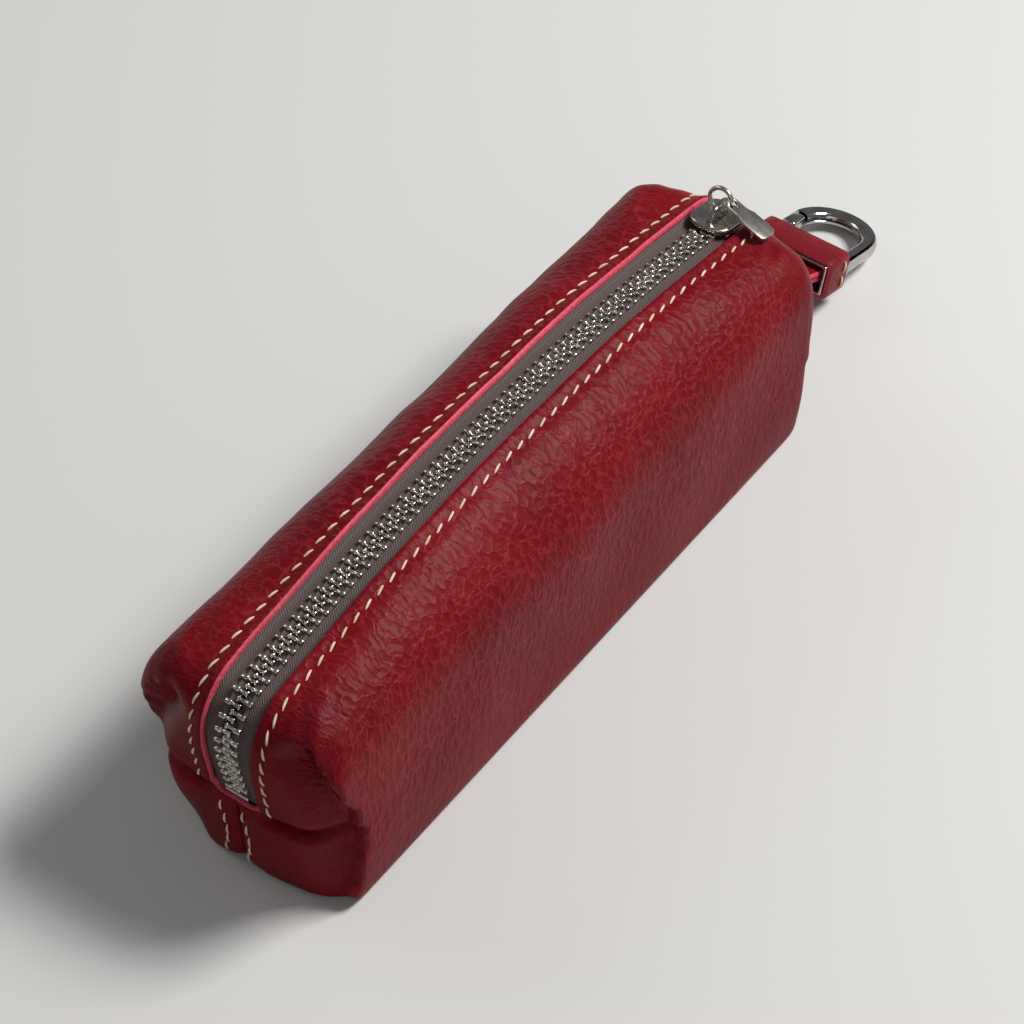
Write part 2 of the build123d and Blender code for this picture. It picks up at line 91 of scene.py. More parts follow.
floor_half = 3.0
floor_mesh = bmesh.new()
bmesh.ops.create_grid(floor_mesh, x_segments=1, y_segments=1, size=floor_half)
floor_data = bpy.data.meshes.new("floor")
floor_mesh.to_mesh(floor_data)
floor_mesh.free()
floor_object = bpy.data.objects.new("floor", floor_data)
bpy.context.scene.collection.objects.link(floor_object)
floor_paint = bpy.data.materials.new("pale_floor")
floor_paint.use_nodes = True
floor_shader = floor_paint.node_tree.nodes["Principled BSDF"]
floor_shader.inputs["Base Color"].default_value = (0.55, 0.54, 0.52, 1)
floor_shader.inputs["Roughness"].default_value = 0.75
floor_data.materials.append(floor_paint)

# ---- Leather panels ----
# Two panels of pebbled, dyed cowhide about 1.5 mm thick, cut with raw edges, sewn to the
# zipper along the top and to each other along the base. Each end is folded and sewn across
# at half height, so the corners stand out as soft fins beside a deep crease.
leather_thickness = 0.0015
lip_reach = 0.0045
seam_height = 0.0165
seam_lap = 0.0004
wall_half = 0.0185            # half width of an end wall, where its bulge has died away
near_upper_wall, near_lower_wall = 0.0632, 0.0652
far_upper_wall, far_lower_wall = 0.0652, 0.0646
near_seam_depth, far_seam_depth = 0.0030, 0.0014
seam_groove = 0.0009
crease_x, crease_lean = 0.0178, 0.0060
left_tuck = 0.0080
crown_edge, crown_edge_more = 0.0072, 0.0090
panel_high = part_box("right_panel")[1]
slider_joint = next(j for j in frame["joints"] if j["name"] == "slider_travel")
arch_centre = Vector(slider_joint["pos_m"])
arch_radius = panel_high.z - arch_centre.z
panel_half = panel_high.x


def bell(t):
    """A smooth hump, 1 at 0 and nothing beyond about 2."""
    return exp(-t * t)


def ease(t):
    """A smooth step from 0 to 1."""
    t = min(max(t, 0.0), 1.0)
    return t * t * (3 - 2 * t)


def rounded(a, b, radius):
    """Where two faces meet, given the distance beyond each, with a rounded edge."""
    if a > -radius and b > -radius:
        return hypot(a + radius, b + radius) - radius
    return max(a, b)


def end_reach(x, z, side):
    """How far an end wall stands out at a place across it and a height."""
    left = x < 0
    x = abs(x)
    share = (x / wall_half) ** 2
    below = 1 - ease((z - seam_height + 0.0016) / 0.0014)
    if side < 0:
        upper = near_upper_wall + 0.0014 * (1 - share)
        upper += 0.0026 * bell(x / 0.0105) * bell((z - 0.029) / 0.0095)
        lower = near_lower_wall - 0.0024 * share - 0.0014 * (1 - z / seam_height) ** 2
        fold_depth, fin_reach = (0.0030, 0.0006) if left else (0.0066, 0.0016)
        seam_depth = near_seam_depth
    else:
        upper = far_upper_wall + 0.0052 * bell(x / 0.0125) * bell((z - 0.031) / 0.0125)
        lower = far_lower_wall - 0.0026 * (1 - z / seam_height)
        fold_depth, fin_reach, seam_depth = 0.0010, 0.0, far_seam_depth
    reach = upper + (lower - upper) * below
    # the cross seam draws the wall in, between the zipper and the crease
    inner = ease((x - 0.003) / 0.004) * (1 - ease((x - 0.0150) / 0.0025))
    reach -= seam_depth * bell((z - seam_height + 0.0008) / seam_groove) * inner
    # the crease leans inwards as it rises, with a fin of folded leather outside it
    rise = min(max((z - 0.016) / 0.0155, 0.0), 1.0)
    fold_x = crease_x - crease_lean * rise * rise
    fold = fold_depth * ease((0.0365 - z) / 0.007) * (0.30 + 0.70 * ease((z - 0.001) / 0.014))
    reach += fin_reach * ease((x - fold_x) / 0.0010) * ease((0.036 - z) / 0.010)
    reach -= fold * bell((x - fold_x) / (0.0030 if x < fold_x else 0.0009))
    # the middle seam of the lower half
    reach -= 0.0012 * bell(x / seam_groove) * below
    return reach


def pouch_distance(point):
    """How far a point lies outside the leather, negative inside it."""
    x, y, z = point
    across = abs(x)
    # the crown: an arch whose lips curl up at the slot and sink under the stitches
    curl = 0.0007 if x < 0 else 0.0003
    top = hypot(y - arch_centre.y, z - arch_centre.z) - arch_radius
    top -= curl * bell((across - lip_reach) / 0.0011) - 0.0003 * bell((across - 0.0066) / 0.0009)
    # the sides: slightly full, with the near left corner tucked in
    wide = panel_half - 0.0004 + 0.0006 * cos(pi * (z - 0.010) / 0.045)
    if x < 0 and y < 0:
        wide -= left_tuck * ease((0.024 - z) / 0.024) * ease((-y - 0.049) / 0.013)
    middle = 1 - min(abs(y) / 0.064, 1) ** 2
    body = rounded(top, across - wide, crown_edge + crown_edge_more * middle)
    # the ends: a full upper edge that tightens to a fold at the lower corners
    side = -1 if y < 0 else 1
    end = side * y - end_reach(x, z, side)
    full, tight = (0.0062, 0.0017) if side < 0 else (0.0052, 0.0042)
    edge = ease((across - 0.008) / 0.006) * ease((0.040 - z) / 0.012)
    body = rounded(body, end, full + (tight - full) * edge)
    # the base, with a shallow channel along its seam
    hollow = 0.0006 * (1 - ease((across - 0.0028) / 0.0014)) + 0.0008 * bell(across / 0.0008)
    return rounded(body, hollow - z, 0.0014)


far_enough = 0.085            # beyond the leather from any place in the pouch's middle


def surface_point(start, direction, depth=0.0):
    """The point where a ray from inside the pouch comes within a depth of its surface."""
    near, far = 0.0, far_enough
    for halving in range(26):
        middle = (near + far) / 2
        if pouch_distance(start + direction * middle) < -depth:
            near = middle
        else:
            far = middle
    return start + direction * far


core_low = Vector((-0.0050, -0.050, 0.008))
core_high = Vector((0.0050, 0.057, 0.022))


def inside_core(point):
    """The nearest point of a small box in the pouch's middle."""
    return Vector(min(max(v, a), b) for v, a, b in zip(point, core_low, core_high))


def stations(marks, line):
    """Place of a grid line, from a few (line, place) marks, straight in between."""
    for (line_a, place_a), (line_b, place_b) in zip(marks, marks[1:]):
        if line <= line_b:
            return place_a + (place_b - place_a) * (line - line_a) / (line_b - line_a)
    return marks[-1][1]


x_lines = [(0, 0.0), (4, lip_reach), (11, 0.0110), (30, panel_half)]
z_lines = [(0, 0.0), (8, 0.0135), (15, 0.0175), (30, panel_high.z)]
y_lines = [(0, -0.067), (108, 0.070)]


def wrinkles(point):
    """Height of the soft folds in the leather at a place."""
    down = panel_high.z - point.z
    lean = Vector((point.y * 150 - down * 60, point.x * 120, (point.y + down * 2) * 36))
    coarse = noise.noise(lean) * 0.00022
    swell = noise.noise(point * 52) * 0.00045
    bunch = bell((abs(point.y) - 0.060) / 0.006) * bell((abs(point.x) - 0.011) / 0.005)
    bunch *= ease((point.z - 0.028) / 0.006)
    fan = noise.noise(Vector((point.x * 340 + point.y * 190, point.y * 30, point.z * 60)))
    calm = ease((point.z - 0.001) / 0.006)
    return (coarse * ease((point.z - 0.006) / 0.012) + swell + fan * bunch * 0.0007) * calm


def leather_panel(side):
    """One panel as a single layer of faces, with its flat pattern as UV, in millimetres."""
    mesh = bmesh.new()
    bmesh.ops.create_cube(mesh, size=1)
    bmesh.ops.translate(mesh, verts=mesh.verts, vec=(0.5, 0.5, 0.5))
    for axis, lines in ((1, y_lines), (0, x_lines), (2, z_lines)):
        along = [e for e in mesh.edges
                 if abs((e.verts[0].co - e.verts[1].co)[axis]) > 0.5]
        bmesh.ops.subdivide_edges(mesh, edges=along, cuts=lines[-1][0] - 1, use_grid_fill=True)
    for vert in mesh.verts:
        for axis, lines in ((0, x_lines), (1, y_lines), (2, z_lines)):
            vert.co[axis] = stations(lines, round(vert.co[axis] * lines[-1][0]))
    mesh.normal_update()
    pattern = mesh.loops.layers.uv.new("pattern")
    open_faces = []
    for face in mesh.faces:
        middle = face.calc_center_median()
        for loop in face.loops:
            x, y, z = loop.vert.co
            drop = panel_high.z - z
            if abs(face.normal.y) > 0.5:
                flat = (y + drop * (1 if y > 0 else -1), x)
            elif face.normal.z > 0.5:
                flat = (y, x)
            elif face.normal.x > 0.5:
                flat = (y, x + drop)
            else:
                flat = (y, 2 * panel_half + drop - x)
            loop[pattern].uv = (flat[0] * 1000, flat[1] * 1000 * side)
        slot = middle.x < lip_reach and middle.z > seam_height - 0.0002
        if face.normal.x < -0.5 or slot:
            open_faces.append(face)
    bmesh.ops.delete(mesh, geom=open_faces, context="FACES")
    for vert in mesh.verts:
        vert.co.x *= side
    if side < 0:
        bmesh.ops.reverse_faces(mesh, faces=mesh.faces)
    grain = mesh.verts.layers.float.new("grain")
    for vert in mesh.verts:
        start = inside_core(vert.co)
        direction = (vert.co - start).normalized()
        point = surface_point(start, direction)
        ends = ease((0.066 - abs(point.y + 0.001)) / 0.012)
        low = ease((point.z - 0.004) / 0.020)
        vert[grain] = 0.25 + 0.75 * ends * (0.3 + 0.7 * low)
        vert.co = point + direction * wrinkles(point)
        if abs(vert.co.x) < seam_lap / 2:
            vert.co.x = -side * seam_lap
    return mesh


sharpest_smooth = radians(50)


def piece(mesh, name, finishes):
    """A finished mesh as an object of the scene, with its materials."""
    data = bpy.data.meshes.new(name)
    mesh.to_mesh(data)
    mesh.free()
    for face in data.polygons:
        face.use_smooth = True
    data.set_sharp_from_angle(angle=sharpest_smooth)
    thing = bpy.data.objects.new(name, data)
    bpy.context.scene.collection.objects.link(thing)
    for finish in finishes:
        data.materials.append(finish)
    return thing


def new_finish(name):
    """A new material: its node tree and its main shader."""
    finish = bpy.data.materials.new(name)
    finish.use_nodes = True
    return finish, finish.node_tree, finish.node_tree.nodes["Principled BSDF"]


def add_node(tree, kind, inputs=None, **settings):
    """A shader node with its settings, whose inputs are values or other nodes' outputs."""
    made = tree.nodes.new(kind)
    for key, value in settings.items():
        setattr(made, key, value)
    for key, value in (inputs or {}).items():
        if isinstance(value, bpy.types.NodeSocket):
            tree.links.new(value, made.inputs[key])
        else:
            made.inputs[key].default_value = value
    return made


def ramp(tree, value, low, high, low_colour=(0, 0, 0, 1), high_colour=(1, 1, 1, 1)):
    """A colour ramp between two places on a value."""
    made = add_node(tree, "ShaderNodeValToRGB", {"Fac": value})
    made.color_ramp.elements[0].position = low
    made.color_ramp.elements[0].color = low_colour
    made.color_ramp.elements[1].position = high
    made.color_ramp.elements[1].color = high_colour
    return made.outputs["Color"]


def reckon(tree, operation, a, b):
    """A node that works out one sum on two values."""
    made = add_node(tree, "ShaderNodeMath", {0: a, 1: b}, operation=operation)
    return made.outputs[0]


def mixed(tree, share, a, b, blend="MIX"):
    """A blend of two colours."""
    made = add_node(tree, "ShaderNodeMix", {"Factor": share}, data_type="RGBA", blend_type=blend)
    for key, value in ((6, a), (7, b)):
        if isinstance(value, bpy.types.NodeSocket):
            tree.links.new(value, made.inputs[key])
        else:
            made.inputs[key].default_value = value
    return made.outputs[2]


grain_lean = radians(-27)
grain_stretch = 0.40
pebbles_per_mm = 0.72
grain_relief = 0.00026
dye = (0.112, 0.0016, 0.0050, 1)
warm_dye = (0.150, 0.0024, 0.0063, 1)
# paler pink for the pebbles' ridges: partly pulled-up dye, partly a painted highlight
ridge_pull_up_and_highlight_dye = (0.290, 0.0260, 0.0380, 1)


def grained_leather():
    """Burgundy hide: stretched pebbles leaning across the panel, pores, a soft shine, and paler
    pink ridges that are partly the lighter dye of pulled-up hide and partly a painted highlight.
    """
    finish, tree, shader = new_finish("burgundy_leather")
    flat = add_node(tree, "ShaderNodeUVMap", uv_map="pattern").outputs["UV"]
    warp = add_node(tree, "ShaderNodeTexNoise", {"Vector": flat, "Scale": 0.22, "Detail": 0.0})
    shift = add_node(tree, "ShaderNodeVectorMath", {0: warp.outputs["Color"], 1: (2.2, 2.2, 2.2)},
                     operation="MULTIPLY")
    curl = add_node(tree, "ShaderNodeTexNoise", {"Vector": flat, "Scale": 0.8, "Detail": 0.0})
    twist = add_node(tree, "ShaderNodeVectorMath", {0: curl.outputs["Color"], 1: (0.7, 0.7, 0.7)},
                     operation="MULTIPLY")
    drift = add_node(tree, "ShaderNodeVectorMath", {0: shift.outputs["Vector"],
                     1: twist.outputs["Vector"]}, operation="ADD")
    place = add_node(tree, "ShaderNodeVectorMath", {0: flat, 1: drift.outputs["Vector"]},
                     operation="ADD")
    turned = add_node(tree, "ShaderNodeMapping", {"Vector": place.outputs["Vector"],
                      "Rotation": (0, 0, grain_lean), "Scale": (1.0, grain_stretch, 1.0)})
    cells = add_node(tree, "ShaderNodeTexVoronoi", {"Vector": turned.outputs["Vector"],
                     "Scale": pebbles_per_mm, "Randomness": 0.9}, feature="DISTANCE_TO_EDGE")
    pillow = add_node(tree, "ShaderNodeTexVoronoi", {"Vector": turned.outputs["Vector"],
                      "Scale": pebbles_per_mm, "Randomness": 0.9, "Smoothness": 0.35},
                      feature="SMOOTH_F1")
    pores = add_node(tree, "ShaderNodeTexNoise", {"Vector": flat, "Scale": 3.6, "Detail": 3.0})
    patch = add_node(tree, "ShaderNodeTexNoise", {"Vector": flat, "Scale": 0.045, "Detail": 2.0})
    gaps = add_node(tree, "ShaderNodeTexNoise", {"Vector": flat, "Scale": 0.55, "Detail": 2.0})
    ridge = ramp(tree, cells.outputs["Distance"], 0.0, 0.12, (1, 1, 1, 1), (0, 0, 0, 1))
    broken = reckon(tree, "MULTIPLY", ridge, ramp(tree, gaps.outputs["Fac"], 0.32, 0.58))
    depth = add_node(tree, "ShaderNodeAttribute", attribute_name="grain").outputs["Fac"]
    folds = reckon(tree, "MULTIPLY", broken, depth)
    domes = reckon(tree, "MULTIPLY", depth, 0.8)
    swelling = reckon(tree, "MULTIPLY", pillow.outputs["Distance"], domes)
    fine = reckon(tree, "MULTIPLY", pores.outputs["Fac"], 0.16)
    coarse = reckon(tree, "ADD", reckon(tree, "MULTIPLY", folds, 0.28), swelling)
    height = reckon(tree, "ADD", coarse, fine)
    relief = add_node(tree, "ShaderNodeBump", {"Height": height, "Strength": 0.8,
                      "Distance": grain_relief})
    tree.links.new(relief.outputs["Normal"], shader.inputs["Normal"])
    tone = mixed(tree, ramp(tree, patch.outputs["Fac"], 0.35, 0.7), dye, warm_dye)
    # the raised ridges are painted paler pink, partly as pulled-up dye and partly as a painted
    # highlight, less so where the grain is shallow at the ends and base
    colour = mixed(tree, reckon(tree, "MULTIPLY", folds, 0.40), tone, ridge_pull_up_and_highlight_dye)
    tree.links.new(colour, shader.inputs["Base Color"])
    dull = reckon(tree, "ADD", 0.36, reckon(tree, "MULTIPLY", pores.outputs["Fac"], 0.14))
    tree.links.new(dull, shader.inputs["Roughness"])
    shader.inputs["Specular IOR Level"].default_value = 0.09
    return finish


def raw_leather(name, colour, pale, scale):
    """The rough inner side or a cut edge of the hide, with short fibres."""
    finish, tree, shader = new_finish(name)
    place = add_node(tree, "ShaderNodeTexCoord").outputs["Object"]
    fibre = add_node(tree, "ShaderNodeTexNoise", {"Vector": place, "Scale": scale, "Detail": 5.0})
    tone = ramp(tree, fibre.outputs["Fac"], 0.3, 0.75, colour, pale)
    tree.links.new(tone, shader.inputs["Base Color"])
    relief = add_node(tree, "ShaderNodeBump", {"Height": fibre.outputs["Fac"],
                      "Strength": 0.5, "Distance": 0.0001})
    tree.links.new(relief.outputs["Normal"], shader.inputs["Normal"])
    shader.inputs["Roughness"].default_value = 0.62
    return finish


leather = grained_leather()
suede = raw_leather("suede_inner_side", (0.15, 0.012, 0.018, 1), (0.22, 0.03, 0.035, 1), 2500)
cut_edge = raw_leather("raw_cut_edge", (0.42, 0.022, 0.055, 1), (0.60, 0.075, 0.11, 1), 1800)


def walled(thing, thickness):
    """Gives a single layer its wall, with an inner side and a cut edge, and rounds it."""
    wall = thing.modifiers.new("wall", "SOLIDIFY")
    wall.thickness = thickness
    wall.offset = -1
    wall.material_offset = 1
    wall.material_offset_rim = 2
    smooth = thing.modifiers.new("smooth", "SUBSURF")
    smooth.levels = 1
    smooth.render_levels = 1


for side, node in ((-1, "left_panel"), (1, "right_panel")):
    panel = piece(leather_panel(side), node + "_leather", [leather, suede, cut_edge])
    walled(panel, leather_thickness)
    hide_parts(node)
    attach(panel, "pouch")

# ---- Zipper tapes ----
# Two woven polyester tapes, dark grey-brown, with a corded inner edge that carries the
# teeth. They are sewn under the leather on both sides of the slot, from seam to seam.
tape_depth = 0.00185
tape_inner = 0.00030
tape_outer = 0.0078
tape_thickness = 0.0006
zip_core = Vector((0, 0.0, 0.016))
near_zip_bend, far_zip_bend = 0.0062, 0.0048
cord_middle = 0.0016
cord_half_width, cord_half_height = 0.0005, 0.0007


def zip_point(angle, depth):
    """A point of the zipper's middle line, seen at an angle from the pouch's core."""
    direction = Vector((0, sin(angle), cos(angle)))
    near, far = 0.0, far_enough
    for halving in range(30):
        middle = (near + far) / 2
        spot = zip_core + direction * middle
        side = -1 if spot.y < 0 else 1
        top = hypot(spot.y - arch_centre.y, spot.z - arch_centre.z) - arch_radius
        end = side * spot.y - end_reach(0.002, max(spot.z, seam_height + 0.002), side)
        if rounded(top, end, near_zip_bend if side < 0 else far_zip_bend) < -depth:
            near = middle
        else:
            far = middle
    return zip_core + direction * far


class ZipLine:
    """The zipper's middle line at a depth below the leather, from seam to seam."""

    def __init__(self, depth):
        steps = 700
        short = 0.012
        angles = [-pi / 2 + short + (pi - 2 * short) * step / steps
                  for step in range(steps + 1)]
        self.points = [zip_point(angle, depth) for angle in angles]
        self.marks = [0.0]
        for a, b in zip(self.points, self.points[1:]):
            self.marks.append(self.marks[-1] + (b - a).length)
        self.length = self.marks[-1]

    def at(self, distance):
        """Point on the line and its direction towards the far end."""
        low, high = 0, len(self.marks) - 1
        while high - low > 1:
            middle = (low + high) // 2
            if self.marks[middle] <= distance:
                low = middle
            else:
                high = middle
        share = (distance - self.marks[low]) / (self.marks[high] - self.marks[low])
        before, after = max(low - 2, 0), min(high + 2, len(self.marks) - 1)
        direction = (self.points[after] - self.points[before]).normalized()
        return self.points[low].lerp(self.points[high], share), direction

    def upon(self, distance, x=0.0, up=0.0):
        """A place on the line: X across, Y along it and Z outwards."""
        point, along = self.at(distance)
        normal = Vector((1, 0, 0)).cross(along)
        turned = Matrix(((1, 0, 0), along, normal)).transposed().to_4x4()
        return Matrix.Translation(point + Vector((x, 0, 0)) + normal * up) @ turned


tape_line = ZipLine(tape_depth)


def bent_bar(mesh, path, section):
    """A bar that carries a section of (x, z) points along a row of places."""
    made = bmesh.ops.create_circle(mesh, cap_ends=True, segments=len(section), radius=0.001)
    for vert, (x, z) in zip(made["verts"], section):
        vert.co = path[0] @ Vector((x, 0, z))
    cap = made["verts"][0].link_faces[0]
    bar = {cap}
    for before, after in zip(path, path[1:]):
        grown = bmesh.ops.extrude_face_region(mesh, geom=[cap])["geom"]
        if before is not path[0]:
            bmesh.ops.delete(mesh, geom=[cap], context="FACES_ONLY")
        verts = [part for part in grown if isinstance(part, bmesh.types.BMVert)]
        cap = next(part for part in grown if isinstance(part, bmesh.types.BMFace))
        bmesh.ops.transform(mesh, matrix=after @ before.inverted(), verts=verts)
        bar.update(face for vert in verts for face in vert.link_faces)
    bmesh.ops.recalc_face_normals(mesh, faces=[face for face in bar if face.is_valid])


tape_dark = (0.036, 0.023, 0.020, 1)
tape_pale = (0.120, 0.080, 0.070, 1)


def woven_tape():
    """Dark herringbone tape: fine ribs that lean both ways, with a dull thread shine."""
    finish, tree, shader = new_finish("woven_tape")
    flat = add_node(tree, "ShaderNodeUVMap", uv_map="pattern").outputs["UV"]
    axes = add_node(tree, "ShaderNodeSeparateXYZ", {"Vector": flat})
    lean = reckon(tree, "PINGPONG", reckon(tree, "ABSOLUTE", axes.outputs["Y"], 0.0), 1.1)
    slanted = reckon(tree, "ADD", axes.outputs["X"], lean)
    ribs = reckon(tree, "SINE", reckon(tree, "MULTIPLY", slanted, 12.0), 0)
    warp = reckon(tree, "SINE", reckon(tree, "MULTIPLY", axes.outputs["Y"], 15.0), 0)
    weave = reckon(tree, "ADD", reckon(tree, "MULTIPLY", ribs, 0.6),
                   reckon(tree, "MULTIPLY", warp, 0.4))
    fuzz = add_node(tree, "ShaderNodeTexNoise", {"Vector": flat, "Scale": 6.0, "Detail": 3.0})
    shade = reckon(tree, "ADD", reckon(tree, "MULTIPLY", weave, 0.22), fuzz.outputs["Fac"])
    tone = ramp(tree, shade, 0.25, 0.85, tape_dark, tape_pale)
    tree.links.new(tone, shader.inputs["Base Color"])
    relief = add_node(tree, "ShaderNodeBump", {"Height": weave, "Strength": 0.6,
                      "Distance": 0.0001})
    tree.links.new(relief.outputs["Normal"], shader.inputs["Normal"])
    shader.inputs["Roughness"].default_value = 0.72
    return finish


tape_cloth = woven_tape()
tape_rows = 240
tape_columns = 9
tape_flat = 0.0044


def tape_spot(side, distance, x):
    """A point in the tape's middle, level with the teeth, or close under the leather."""
    place = tape_line.upon(distance)
    if x < tape_flat:
        return place @ Vector((side * x, 0, 0))
    spot = place @ Vector((0, 0, tape_depth))
    core = inside_core(Vector((side * x, spot.y, spot.z)))
    core.x = side * x
    direction = (Vector((side * x, spot.y, spot.z)) - core).normalized()
    return surface_point(core, direction, tape_depth)


for side, node in ((-1, "left_tape"), (1, "right_tape")):
    mesh = bmesh.new()
    bmesh.ops.create_grid(mesh, x_segments=tape_rows, y_segments=tape_columns, size=1)
    pattern = mesh.loops.layers.uv.new("pattern")
    for vert in mesh.verts:
        distance = tape_line.length * (vert.co.x + 1) / 2
        x = tape_inner + (tape_outer - tape_inner) * (vert.co.y + 1) / 2
        for loop in vert.link_loops:
            loop[pattern].uv = (distance * 1000, x * 1000)
        vert.co = tape_spot(side, distance, x)
    tape = piece(mesh, node + "_cloth", [tape_cloth])
    wall = tape.modifiers.new("wall", "SOLIDIFY")
    wall.thickness = tape_thickness
    wall.offset = 0
    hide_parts(node)
    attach(tape, "pouch")
    cord_path = [tape_line.upon(tape_line.length * row / tape_rows, side * cord_middle)
                 for row in range(tape_rows + 1)]
    cord_section = [(cord_half_width * cos(2 * pi * s / 8), cord_half_height * sin(2 * pi * s / 8))
                    for s in range(8)]
    mesh = bmesh.new()
    mesh.loops.layers.uv.new("pattern")
    bent_bar(mesh, cord_path, cord_section)
    cord = piece(mesh, node + "_edge_cord", [tape_cloth])
    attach(cord, "pouch")

# ---- Zipper teeth and stops ----
# Nickel-plated teeth, each clamped on its tape's cord, with a narrower head that reaches
# past the middle between two teeth of the other side. A staple ends them at the near
# seam and two small clamps at the far one.
tooth_pitch = 0.00205
tooth_length = 0.00086
tooth_height = 0.0021
first_tooth = 0.0016
teeth_each_side = 70
stop_size = (0.0043, 0.00064, 0.0019)
clamp_size = (0.0020, 0.0010, 0.0019)


def block(mesh, size, bevel, place, segments=1):
    """A box with bevelled edges, its middle on a place."""
    turned = place @ Matrix.Diagonal((size[0], size[1], size[2], 1))
    made = bmesh.ops.create_cube(mesh, size=1, matrix=turned)
    edges = list({edge for vert in made["verts"] for edge in vert.link_edges})
    bmesh.ops.bevel(mesh, geom=edges, offset=bevel, offset_type="OFFSET", segments=segments,
                    profile=0.5, affect="EDGES", clamp_overlap=True, material=-1)


def plated_metal(name, bright, dark, dull, scratch):
    """Plated metal: a slightly clouded shine with fine scratches."""
    finish, tree, shader = new_finish(name)
    place = add_node(tree, "ShaderNodeTexCoord").outputs["Object"]
    cloud = add_node(tree, "ShaderNodeTexNoise", {"Vector": place, "Scale": 420.0, "Detail": 3.0})
    lines = add_node(tree, "ShaderNodeTexNoise", {"Vector": place, "Scale": scratch, "Detail": 5.0,
                     "Distortion": 1.5})
    tone = ramp(tree, cloud.outputs["Fac"], 0.35, 0.7, dark, bright)
    tree.links.new(tone, shader.inputs["Base Color"])
    shine = reckon(tree, "ADD", dull, reckon(tree, "MULTIPLY", lines.outputs["Fac"], 0.14))
    tree.links.new(shine, shader.inputs["Roughness"])
    relief = add_node(tree, "ShaderNodeBump", {"Height": lines.outputs["Fac"], "Strength": 0.10,
                      "Distance": 0.00005})
    tree.links.new(relief.outputs["Normal"], shader.inputs["Normal"])
    shader.inputs["Metallic"].default_value = 1.0
    return finish


nickel = plated_metal("zipper_nickel", (0.66, 0.63, 0.57, 1), (0.40, 0.38, 0.34, 1),
                      0.18, 1900.0)


def tooth(mesh, side, place):
    """One tooth: jaws on the cord, a neck and a rounded head with a small nib."""
    jaw = place @ Matrix.Translation((side * 0.00155, 0, 0))
    block(mesh, (0.00120, tooth_length * 0.92, tooth_height), 0.00014, jaw)
    head = place @ Matrix.Translation((side * 0.00022, 0, 0.00004))
    block(mesh, (0.00168, tooth_length * 0.70, tooth_height * 0.74), 0.00018, head)
    nib = place @ Matrix.Translation((-side * 0.00038, 0, 0.00010))
    block(mesh, (0.00048, tooth_length * 1.05, tooth_height * 0.82), 0.00014, nib)


for side, node in ((-1, "left_teeth"), (1, "right_teeth")):
    mesh = bmesh.new()
    for row in range(teeth_each_side):
        distance = first_tooth + (row + (0.5 if side > 0 else 0.0)) * tooth_pitch
        tooth(mesh, side, tape_line.upon(distance))
    teeth = piece(mesh, node + "_metal", [nickel])
    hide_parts(node)
    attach(teeth, "pouch")

mesh = bmesh.new()
block(mesh, stop_size, 0.00015, tape_line.upon(0.0007), 2)
staple = piece(mesh, "bottom_stop_metal", [nickel])
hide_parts("bottom_stop")
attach(staple, "pouch")

slider_tilt = radians(11.912)
slider_radius = arch_radius - tape_depth
slider_place = Matrix.Translation(arch_centre + Vector((0, sin(slider_tilt), cos(slider_tilt)))
                                  * slider_radius) @ Matrix.Rotation(-slider_tilt, 4, "X")
mesh = bmesh.new()
for side in (-1, 1):
    block(mesh, clamp_size, 0.00015,
          slider_place @ Matrix.Translation((side * 0.0016, 0.0052, 0)), 2)
clamps = piece(mesh, "top_stops_metal", [nickel])
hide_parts("top_stops")
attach(clamps, "pouch")

# ---- Stitching ----
# Waxed cream thread in short slanted stitches. One row runs beside each lip from seam to
# seam, one each side of the base seam and up the lower ends, and short rows hold the
# strap's fold and the collar's lap.
stitch_pitch = 0.00295
stitch_length = 0.00250
stitch_width = 0.00037
stitch_rise = 0.00032
stitch_slant = radians(14)
thread_dark = (0.54, 0.37, 0.22, 1)
thread_pale = (0.86, 0.69, 0.48, 1)


def waxed_thread():
    """Cream thread with twisted strands."""
    finish, tree, shader = new_finish("waxed_thread")
    flat = add_node(tree, "ShaderNodeUVMap", uv_map="pattern").outputs["UV"]
    axes = add_node(tree, "ShaderNodeSeparateXYZ", {"Vector": flat})
    lean = reckon(tree, "ADD", axes.outputs["X"], reckon(tree, "MULTIPLY", axes.outputs["Y"], 0.7))
    twist = reckon(tree, "SINE", reckon(tree, "MULTIPLY", lean, 34.0), 0)
    place = add_node(tree, "ShaderNodeTexCoord").outputs["Object"]
    soil = add_node(tree, "ShaderNodeTexNoise", {"Vector": place, "Scale": 260.0, "Detail": 2.0})
    shade = reckon(tree, "ADD", reckon(tree, "MULTIPLY", twist, 0.16), soil.outputs["Fac"])
    tone = ramp(tree, shade, 0.25, 0.75, thread_dark, thread_pale)
    tree.links.new(tone, shader.inputs["Base Color"])
    relief = add_node(tree, "ShaderNodeBump", {"Height": twist, "Strength": 0.5,
                      "Distance": 0.00006})
    tree.links.new(relief.outputs["Normal"], shader.inputs["Normal"])
    shader.inputs["Roughness"].default_value = 0.5
    return finish


thread = waxed_thread()


def stitch(mesh, pattern, place):
    """One stitch along Y of its place, arched, with both ends sunk in the leather."""
    made = bmesh.ops.create_uvsphere(mesh, u_segments=6, v_segments=6, radius=0.5)
    for vert in made["verts"]:
        x, y, z = vert.co
        share = 2 * z
        vert.co = Vector((-x * stitch_width * 1.15, share * stitch_length / 2,
                          y * stitch_width + stitch_rise * (0.62 - share * share)))
    faces = {face for vert in made["verts"] for face in vert.link_faces}
    for face in faces:
        for loop in face.loops:
            loop[pattern].uv = (loop.vert.co.y * 1000, loop.vert.co.x * 1000)
    bmesh.ops.transform(mesh, matrix=place, verts=made["verts"])


